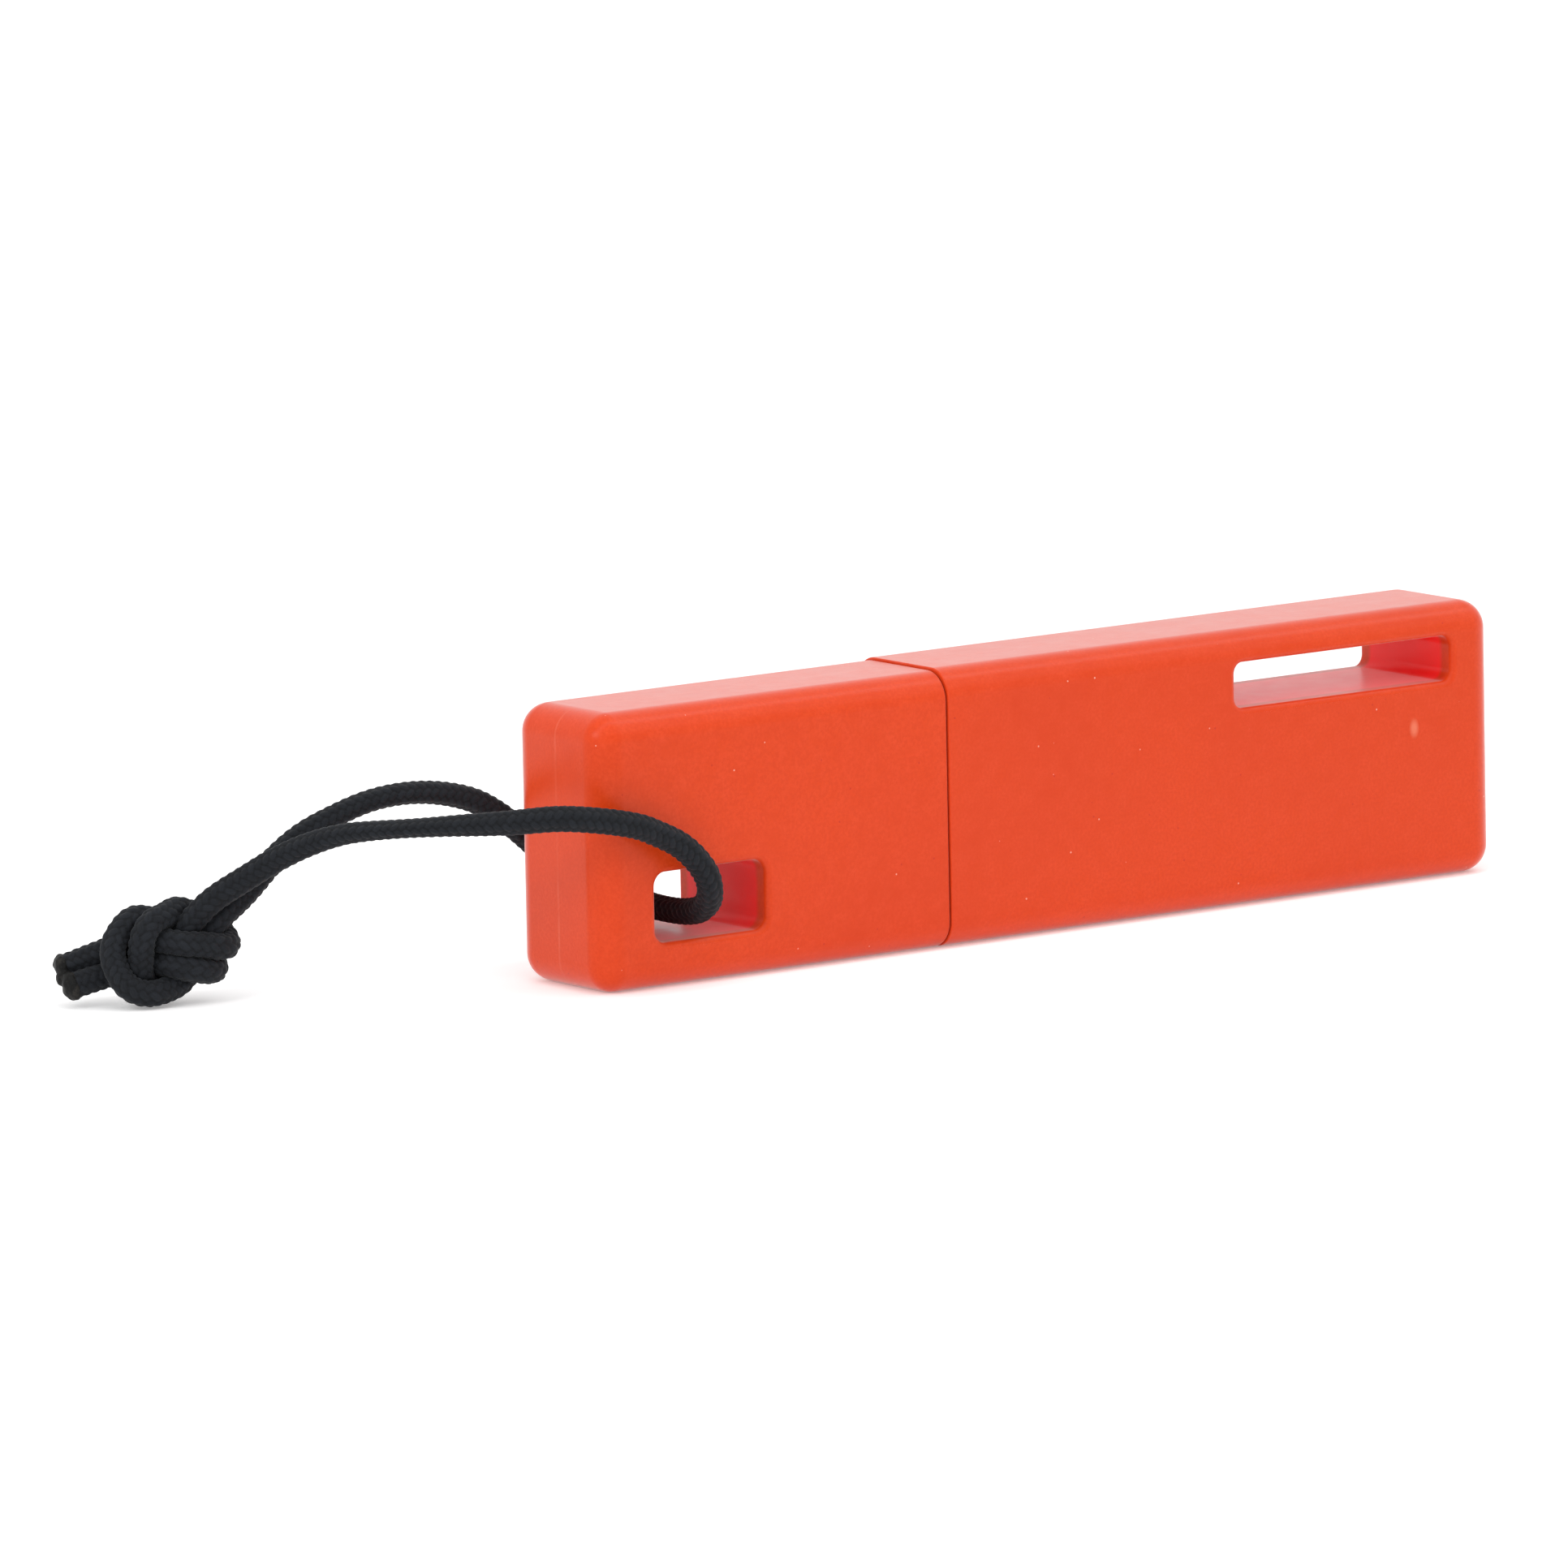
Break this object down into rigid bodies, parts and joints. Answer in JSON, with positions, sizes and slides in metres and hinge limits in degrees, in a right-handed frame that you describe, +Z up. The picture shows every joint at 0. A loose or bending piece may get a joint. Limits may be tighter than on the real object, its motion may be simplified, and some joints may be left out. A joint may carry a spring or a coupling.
{
  "type": "training whistle",
  "caption": "Flat rectangular two-tone training whistle with a pull-off cap over its mouthpiece, a strap slot, and a short knotted cord through the cap's window.",
  "frame": {"origin": "middle of the resting face, under the middle of the whistle's length and depth, cord left out", "axes": "+X along the length from the cap to the closed end, -Y is the front broad face, +Z up"},
  "size_m": [0.1257, 0.0291, 0.0224],
  "materials": {
    "orange_shell": "matte soft-touch moulding, orange-red",
    "core_plastic": "fine satin moulding, charcoal",
    "seal_rubber": "matte black rubber",
    "braided_cord": "tight round braid, charcoal"
  },
  "bodies": {
    "whistle": {"body_shell": "orange_shell", "whistle_core": "core_plastic", "windway_block_upper": "core_plastic", "windway_block_lower": "core_plastic", "chamber_plug_short": "core_plastic", "chamber_plug_long": "core_plastic", "neck_seal_ring": "seal_rubber"},
    "cap": {"cap_shell": "orange_shell", "lanyard_cord": "braided_cord", "lanyard_knot": "braided_cord", "cord_tail_upper": "braided_cord", "cord_tail_lower": "braided_cord"}
  },
  "joints": [
    {"name": "cap_slide", "type": "slide", "parent": "whistle", "child": "cap", "axis": [-1, 0, 0], "range_m": [0, 0.018]}
  ]
}
